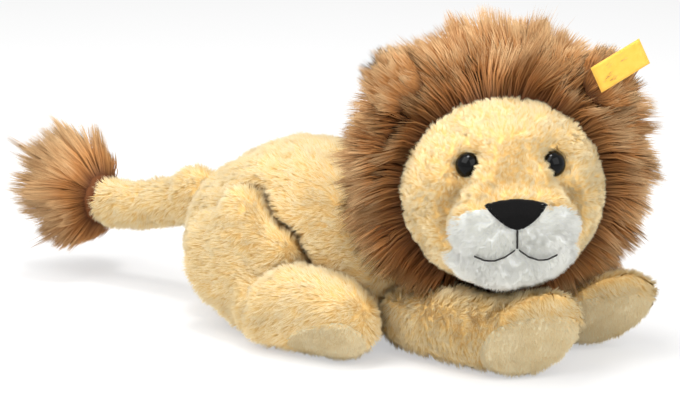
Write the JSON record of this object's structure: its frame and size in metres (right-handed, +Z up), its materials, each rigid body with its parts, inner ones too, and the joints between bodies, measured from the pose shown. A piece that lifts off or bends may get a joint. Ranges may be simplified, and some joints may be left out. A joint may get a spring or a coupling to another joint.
{
  "type": "plush lion",
  "caption": "Stuffed toy lion lying on its belly, head turned to the side, with a shaggy mane, tufted tail, padded paws and a bare ear ribbon.",
  "frame": {"origin": "on the flat underside of the belly, on the table, between the hind and front legs", "axes": "+X from the rump to the front paws, +Y to the lion's left, +Z up"},
  "size_m": [0.4227, 0.1676, 0.1818],
  "materials": {
    "golden_plush": "golden short-pile plush",
    "stuffing": "white polyester filling",
    "cream_plush": "cream short-pile plush",
    "white_plush": "white short-pile plush",
    "brown_fur": "brown long-pile plush",
    "nose_velvet": "black velvet",
    "black_thread": "black embroidery thread",
    "eye_plastic": "black gloss safety eye",
    "washer_plastic": "white locking washer",
    "label_ribbon": "yellow woven ribbon, bare"
  },
  "bodies": {
    "torso": {"torso_cover": "golden_plush", "torso_filling": "stuffing"},
    "neck": {"neck_seam": "golden_plush"},
    "head": {"head_cover": "golden_plush", "muzzle_cover": "white_plush", "head_filling": "stuffing", "nose": "nose_velvet", "stitch_centre": "black_thread", "stitch_right": "black_thread", "stitch_left": "black_thread", "eye_right": "eye_plastic", "eye_left": "eye_plastic", "eye_washer_right": "washer_plastic", "eye_washer_left": "washer_plastic", "ear_right": "brown_fur", "ear_left": "brown_fur", "label": "label_ribbon", "mane_collar": "brown_fur", "mane_nape": "brown_fur"},
    "front_leg_right": {"front_leg_right_cover": "golden_plush", "front_leg_right_filling": "stuffing", "front_leg_right_sole": "cream_plush"},
    "front_leg_left": {"front_leg_left_cover": "golden_plush", "front_leg_left_filling": "stuffing", "front_leg_left_sole": "cream_plush"},
    "hind_leg_right": {"hind_leg_right_cover": "golden_plush", "hind_leg_right_filling": "stuffing", "hind_leg_right_sole": "cream_plush"},
    "hind_leg_left": {"hind_leg_left_cover": "golden_plush", "hind_leg_left_filling": "stuffing", "hind_leg_left_sole": "cream_plush"},
    "tail_root": {"tail_seam": "golden_plush"},
    "tail": {"tail_cover": "golden_plush", "tail_filling": "stuffing", "tail_tuft": "brown_fur"}
  },
  "joints": [
    {"name": "head_turn", "type": "hinge", "parent": "torso", "child": "neck", "pos_m": [0.06, 0, 0.066], "axis": [0, 0, 1], "range_deg": [-12, 12], "stiffness_Nm_per_rad": 0.2},
    {"name": "head_lift", "type": "hinge", "parent": "neck", "child": "head", "pos_m": [0.06, 0, 0.066], "axis": [-0.7771, -0.6293, 0], "range_deg": [0, 8]},
    {"name": "tail_swing", "type": "hinge", "parent": "torso", "child": "tail_root", "pos_m": [-0.108, 0, 0.062], "axis": [0, 0, 1], "range_deg": [-20, 20], "stiffness_Nm_per_rad": 0.1},
    {"name": "tail_lift", "type": "hinge", "parent": "tail_root", "child": "tail", "pos_m": [-0.108, 0, 0.062], "axis": [0, 1, 0], "range_deg": [-15, 15], "stiffness_Nm_per_rad": 0.4, "springref_deg": 1.83},
    {"name": "front_leg_right_swing", "type": "hinge", "parent": "torso", "child": "front_leg_right", "pos_m": [0.041, -0.038, 0], "axis": [0, 0, -1], "range_deg": [0, 10], "stiffness_Nm_per_rad": 0.1},
    {"name": "front_leg_left_swing", "type": "hinge", "parent": "torso", "child": "front_leg_left", "pos_m": [0.041, 0.038, 0], "axis": [0, 0, 1], "range_deg": [0, 10], "stiffness_Nm_per_rad": 0.1},
    {"name": "hind_leg_right_swing", "type": "hinge", "parent": "torso", "child": "hind_leg_right", "pos_m": [-0.076, -0.048, 0], "axis": [0, 0, -1], "range_deg": [0, 10], "stiffness_Nm_per_rad": 0.1},
    {"name": "hind_leg_left_swing", "type": "hinge", "parent": "torso", "child": "hind_leg_left", "pos_m": [-0.076, 0.048, 0], "axis": [0, 0, 1], "range_deg": [0, 10], "stiffness_Nm_per_rad": 0.1}
  ]
}
